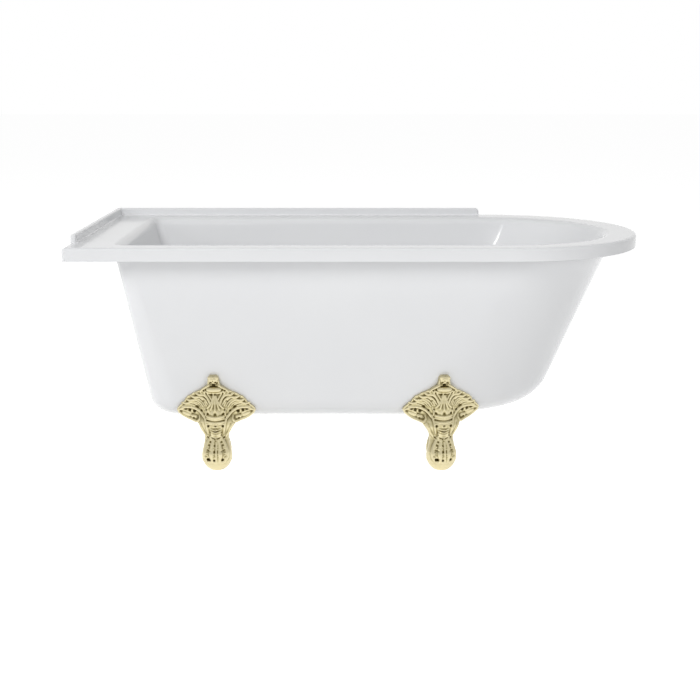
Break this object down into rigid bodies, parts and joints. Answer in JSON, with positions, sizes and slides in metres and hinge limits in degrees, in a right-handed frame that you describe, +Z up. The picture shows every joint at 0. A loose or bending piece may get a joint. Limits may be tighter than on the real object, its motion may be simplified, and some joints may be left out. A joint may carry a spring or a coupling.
{
  "type": "clawfoot shower bath",
  "caption": "Freestanding white acrylic shower bath with a square end, a round end, a low tiling upstand, ornate claw feet, a waste with a sprung plug and an overflow.",
  "frame": {"origin": "on the floor under the middle of the rim", "axes": "+X from the square end to the round end, +Y from the room side to the wall side, +Z up"},
  "size_m": [1.5, 0.75, 0.631],
  "materials": {
    "white_acrylic": "white gloss sanitary acrylic, vacuum formed",
    "gold_casting": "cast aluminium with a polished pale gold plating",
    "gold_brass": "turned brass with a polished pale gold plating",
    "timber_board": "bare chipboard and softwood, bonded",
    "zinc_steel": "bright zinc plating",
    "black_rubber": "matt moulded rubber",
    "white_fitting": "moulded white plumbing plastic"
  },
  "bodies": {
    "tub": {"inner_shell": "white_acrylic", "tiling_upstand": "white_acrylic", "outer_shell": "white_acrylic", "rim_batten_front": "timber_board", "rim_batten_back": "timber_board", "rim_batten_left": "timber_board", "rim_blocks_round_end": "timber_board", "base_board": "timber_board", "foot_block_front_left": "timber_board", "foot_block_front_right": "timber_board", "foot_block_back_left": "timber_board", "foot_block_back_right": "timber_board", "foot_front_left": "gold_casting", "foot_front_right": "gold_casting", "foot_back_left": "gold_casting", "foot_back_right": "gold_casting", "foot_pads": "black_rubber", "foot_bolts": "zinc_steel", "foot_washers": "zinc_steel", "foot_insert_nuts": "zinc_steel", "waste_flange": "gold_brass", "plug_cartridge": "white_fitting", "waste_seal_upper": "black_rubber", "waste_seal_lower": "black_rubber", "overflow_tee": "white_fitting", "waste_backnut": "white_fitting", "overflow_plate": "gold_brass", "overflow_screw": "gold_brass", "overflow_seal": "black_rubber", "overflow_elbow": "white_fitting", "overflow_pipe": "white_fitting"},
    "plug": {"waste_plug": "gold_brass", "plug_seal": "black_rubber", "plug_stem": "zinc_steel"}
  },
  "joints": [
    {"name": "plug_rise", "type": "slide", "parent": "tub", "child": "plug", "axis": [0, 0, 1], "range_m": [0, 0.009]}
  ]
}
